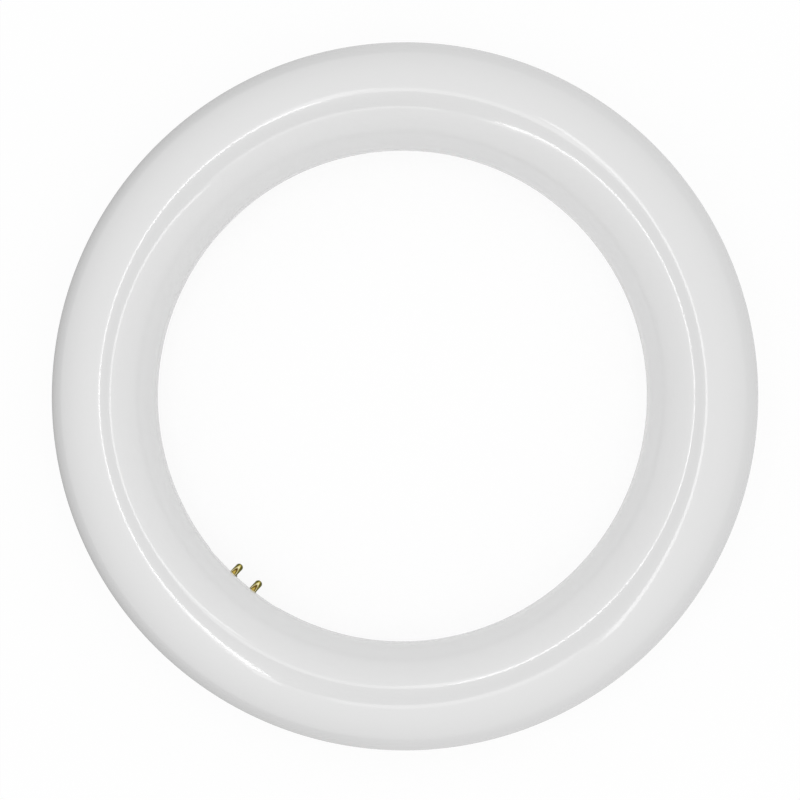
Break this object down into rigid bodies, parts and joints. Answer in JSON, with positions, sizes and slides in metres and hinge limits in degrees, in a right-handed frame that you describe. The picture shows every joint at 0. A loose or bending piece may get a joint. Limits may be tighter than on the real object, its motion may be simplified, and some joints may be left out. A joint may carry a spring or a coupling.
{
  "type": "circular led tube",
  "caption": "Ring of round milky tube that lights a room, with contact pins leaning inward and back from a base in its rear half.",
  "frame": {"origin": "centre of the ring, on the middle plane of the round tube", "axes": "+Z along the ring's axis toward the side that gives light, pin base at -Y"},
  "size_m": [0.209, 0.209, 0.0324],
  "materials": {
    "diffuser_plastic": "milky white polycarbonate, glossy",
    "housing_plastic": "opaque white polycarbonate, glossy",
    "carrier_plastic": "white PBT, satin",
    "contact_brass": "bright, lightly brushed",
    "board_metal": "aluminium core under white solder mask",
    "led_package": "white body with a yellow phosphor",
    "screw_steel": "zinc plated",
    "board_laminate": "paper laminate",
    "film": "polyester film",
    "resistor_coat": "flameproof lacquer",
    "varistor_coat": "epoxy dip",
    "film_capacitor_box": "filled plastic box",
    "moulded_black": "moulded epoxy",
    "ferrite": "sintered ferrite",
    "copper_winding": "enamelled copper",
    "winding_tape": "polyester tape over copper",
    "bobbin_plastic": "moulded bobbin",
    "can_sleeve": "aluminium can in a sleeve",
    "lead_white": "silicone insulation",
    "lead_red": "silicone insulation",
    "lead_black": "silicone insulation",
    "tinned_copper": "tinned copper wire"
  },
  "bodies": {
    "root": {"board_screws": "screw_steel", "bridge_rectifier": "moulded_black", "bulk_capacitor": "can_sleeve", "choke_core": "ferrite", "choke_winding": "copper_winding", "contact_pin_1": "contact_brass", "contact_pin_2": "contact_brass", "contact_pin_3": "contact_brass", "contact_pin_4": "contact_brass", "control_chip": "moulded_black", "driver_board": "board_laminate", "film_capacitor": "film_capacitor_box", "front_diffuser": "diffuser_plastic", "fuse_resistor": "resistor_coat", "insulating_sheet": "film", "jumper_wire_1_inner": "tinned_copper", "jumper_wire_1_outer": "tinned_copper", "jumper_wire_2_inner": "tinned_copper", "jumper_wire_2_outer": "tinned_copper", "jumper_wire_3_inner": "tinned_copper", "jumper_wire_3_outer": "tinned_copper", "led_board_1": "board_metal", "led_board_2": "board_metal", "led_board_3": "board_metal", "led_board_4": "board_metal", "led_packages_1": "led_package", "led_packages_2": "led_package", "led_packages_3": "led_package", "led_packages_4": "led_package", "output_capacitor": "can_sleeve", "output_diode": "moulded_black", "output_lead_negative": "lead_black", "output_lead_positive": "lead_red", "pin_carrier": "carrier_plastic", "pin_lead_1": "lead_white", "pin_lead_2": "lead_white", "pin_lead_3": "lead_white", "pin_lead_4": "lead_white", "rear_housing": "housing_plastic", "transformer_bobbin": "bobbin_plastic", "transformer_core": "ferrite", "transformer_winding": "winding_tape", "varistor": "varistor_coat"}
  },
  "joints": []
}
